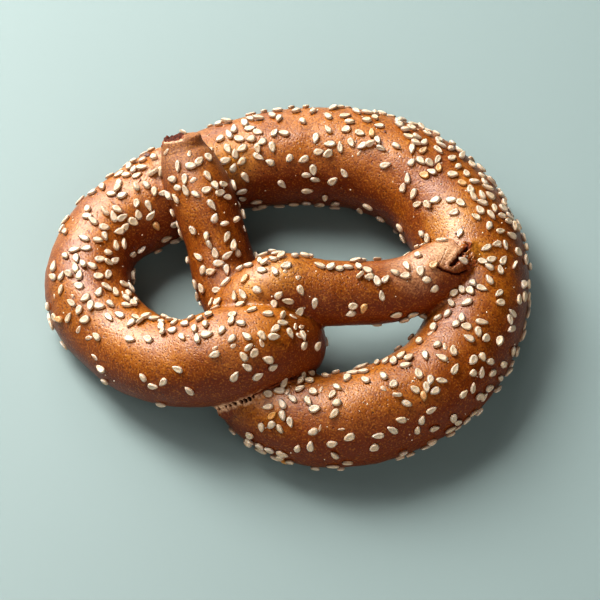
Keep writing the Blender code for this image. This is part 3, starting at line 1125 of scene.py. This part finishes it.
hull = new_material("sesame_hull")
tone, middle, point = (point_value(hull, name) for name in ("tone", "middle", "point"))
seed_spot = in_millimetres(hull)
seed_coats = (
    (spread(hull, tone, 0.0, 0.5), BEIGE),
    (times(hull, middle, 0.55), DULL_FACE),
    (times(hull, point, spread(hull, tone, 0.1, 0.4, 0.0, 0.8)), BROWN_POINT),
    (spread(hull, tone, 0.6, 1.0, 0.0, 0.9), TOASTED),
    (spread(hull, noise_pattern(hull, seed_spot, 0.5), 0.5, 0.8, 0.0, 0.3), BEIGE),
)
seed_finish = {
    "Base Color": coated(hull, CREAM, seed_coats),
    "Roughness": 0.48,
    "Subsurface Weight": 0.5,
    "Subsurface Radius": (1.0, 0.75, 0.5),
    "Subsurface Scale": 0.5 * MM,
    "Normal": bump(hull, noise_pattern(hull, seed_spot, 0.35, detail=1.0), 0.06 * MM, 0.5),
}
set_shader(hull, seed_finish)
sesame.data.materials.append(hull)
print("sesame hull:", len(seed_coats), "coats of colour")

# %% [markdown]
# ## Husks, salt and crumbs
# Between the seeds lie thin empty husks, pale at the rim and nearly clear in the middle, small bright
# grains of salt, and a few dark crumbs. A husk is the seed's outline raised to a low dome, and its middle is
# painted in the crust's brown, as if the crust showed through. Grains and crumbs are small balls of twenty
# faces, squashed and turned at random. The crumbs are then divided once more and roughened.

# %% Husks
HUSK_LENGTH, HUSK_WIDTH, HUSK_HEIGHT = 2.5, 1.5, 0.30
HUSK_SIDES, HUSK_TAPER = 10, 0.5
HUSK_STEPS = (  # growth, rise as a share of the height, and how much the crust shows through
    (1.00, 0.30, 0.0),
    (0.82, 0.45, 0.0),
    (0.72, 0.25, 1.0),
)
HUSKS = (  # X, Y and the angle from +X in degrees, for husks that stand out
    (10.1, -24.6, 20.0),
    (12.0, -27.5, 100.0),
    (13.3, -26.2, 60.0),
    (6.5, -37.6, 140.0),
    (14.0, -29.3, 10.0),
    (45.0, -10.0, 45.0),
    (50.5, -13.5, 120.0),
    (-45.5, -46.0, 70.0),
    (-41.5, -47.5, 30.0),
    (-38.2, -51.2, 160.0),
    (-44.0, 9.0, 45.0),
    (-37.0, 9.5, 110.0),
)
STREWN_HUSKS = 26
DROPS_PER_BIT = 12  # places tried at most for each small bit
HUSK_BEIGE, HUSK_PALE = (0.80, 0.66, 0.50, 1.0), (0.92, 0.84, 0.74, 1.0)
HUSK_CLEAR = (0.42, 0.19, 0.06, 1.0)


def husk_mesh():
    """A low dome with the seed's outline."""
    form = bmesh.new()
    middle = form.verts.layers.float.new("middle")
    top = drop_face(form, HUSK_SIDES, HUSK_LENGTH, HUSK_WIDTH, HUSK_TAPER)
    for growth, rise, see_through in HUSK_STEPS:
        top = raised(form, top, growth, rise * HUSK_HEIGHT)
        for vert in top.verts:
            vert[middle] = see_through
    bmesh.ops.recalc_face_normals(form, faces=form.faces)
    return mesh_from(form, "husk_kind")


def lay(form, pattern, place, normal, heading, size):
    """Adds a copy of a small mesh, lying on the skin and turned to a heading."""
    matrix = Matrix.Translation(place) @ lying(normal, heading) @ Matrix.Diagonal((*size, 1.0))
    add_copy(form, pattern, matrix)


def strewn(count, low_share):
    """Places where small bits lie, by the seeds' own rule but more even."""
    found = []
    for place, normal in random_places(count * DROPS_PER_BIT):
        if len(found) == count:
            break
        upper = normal.z > 0.1 and place.z > LOWEST_SEED
        if upper and chance.random() < low_share + seed_share(place, normal):
            found.append((place, normal))
    return found


husk = husk_mesh()
husks_form = bmesh.new()
husks_form.verts.layers.float.new("middle")
for x, y, turn in HUSKS:
    lay(husks_form, husk, *hand_set(x, y), math.radians(turn), (1.0, 1.0, 1.0))
for place, normal in strewn(STREWN_HUSKS, 0.2):
    size = (chance.uniform(0.5, 1.0), chance.uniform(0.5, 1.1), 1.0)
    lay(husks_form, husk, place, normal, chance.uniform(0.0, math.tau), size)
husks = object_from(husks_form, "husks")
husks.data.shade_smooth()

chaff = new_material("husk")
flecked = noise_pattern(chaff, in_millimetres(chaff), 0.5)
husk_coats = (
    (spread(chaff, flecked, 0.3, 0.7), HUSK_PALE),
    (times(chaff, point_value(chaff, "middle"), 0.8), HUSK_CLEAR),
)
set_shader(chaff, {"Base Color": coated(chaff, HUSK_BEIGE, husk_coats), "Roughness": 0.3})
husks.data.materials.append(chaff)
print("husks:", len(HUSKS) + STREWN_HUSKS)

# %% Grains of salt and dark crumbs
SALT_GRAINS = 150
SALT_LIFT = 0.05 * MM  # how high a grain's middle lies over the skin
SALT_WHITE, SALT_STAINED = (0.95, 0.90, 0.80, 1.0), (0.80, 0.66, 0.48, 1.0)
DARK_CRUMBS = (  # X, Y and size in millimetres
    (-52.0, 12.5, 1.1),
    (-49.5, 2.5, 0.45),
    (-44.0, -14.0, 0.4),
    (39.5, 21.0, 0.4),
    (8.0, 44.0, 0.45),
)
CRUMB_BUMPS, CRUMB_BUMP_WIDTH = 0.25, 0.7  # height and width of a crumb's bumps, in millimetres


def small_ball(radius):
    """A small ball of twenty faces, its radius in millimetres."""
    form = bmesh.new()
    bmesh.ops.create_icosphere(form, subdivisions=1, radius=radius * MM)
    return mesh_from(form, "ball")


def cloudy_material(name, width, low, high, first, second, roughness):
    """A material of two colours in cloudy patches about width millimetres across."""
    material = new_material(name)
    clouds = noise_pattern(material, in_millimetres(material), width)
    colour = coated(material, first, ((spread(material, clouds, low, high), second),))
    set_shader(material, {"Base Color": colour, "Roughness": roughness})
    return material


grain_of_salt = small_ball(0.5)
salt_form = bmesh.new()
for place, normal in strewn(SALT_GRAINS, 0.35):
    size = [chance.uniform(0.25, 0.6) for _ in range(3)]
    lay(salt_form, grain_of_salt, place + normal * SALT_LIFT, normal, chance.uniform(0.0, math.tau), size)
salt = object_from(salt_form, "salt_grains")
salt.data.materials.append(cloudy_material("salt", 0.3, 0.3, 0.7, SALT_WHITE, SALT_STAINED, 0.2))

crumb = small_ball(1.0)
crumbs_form = bmesh.new()
for x, y, size in DARK_CRUMBS:
    lay(crumbs_form, crumb, *hand_set(x, y), chance.uniform(0.0, math.tau), (1.3 * size, size, 0.7 * size))
bmesh.ops.subdivide_edges(crumbs_form, edges=crumbs_form.edges, cuts=1, use_grid_fill=True)
noise.seed_set(SCATTER)  # without it, noise_vector gives other bumps in every run
for vert in crumbs_form.verts:
    vert.co += CRUMB_BUMPS * MM * noise.noise_vector(vert.co / MM / CRUMB_BUMP_WIDTH)
crumbs = object_from(crumbs_form, "dark_crumbs")
crumbs.data.shade_smooth()
# the crumbs reuse the torn crust's two darkest colours as their own
crumbs.data.materials.append(cloudy_material("burnt_crumb", 0.6, 0.35, 0.65, TORN_SHADED, TORN, 0.6))
for mesh in (*seed_kinds, husk, grain_of_salt, crumb):
    bpy.data.meshes.remove(mesh)
print("salt:", SALT_GRAINS, "crumbs:", len(DARK_CRUMBS))

# %% [markdown]
# ## Fewer faces where none are needed
# The flat underside and the long smooth stretches hold most of the dough's faces and need the fewest. A
# Decimate modifier merges faces until the piece is light enough to share, the flattest first, so the cracks
# and the torn face keep theirs. It comes after the strewing, so every seed stays where it fell.

# %% Thin out the dough's faces
MOST_TRIANGLES = 192000


def triangles_in(mesh):
    """How many triangles a mesh's faces make."""
    return sum(len(polygon.vertices) - 2 for polygon in mesh.polygons)


before = triangles_in(dough.data)
thin_out = dough.modifiers.new("thin_out", "DECIMATE")
thin_out.ratio = MOST_TRIANGLES / before
apply_modifiers(dough)
print("dough:", before, "triangles, thinned out to", triangles_in(dough.data))

# %% [markdown]
# ## The pieces
# Every piece rides on the model's one body and stands for the imported node, which is hidden.

# %% Ride, replace and finish
PIECES = ((dough, "crust"), (sesame, "sesame"), (husks, "sesame"), (salt, "sesame"), (crumbs, "crust"))
for piece, slot in PIECES:
    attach(piece, "root")
    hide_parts("pretzel")
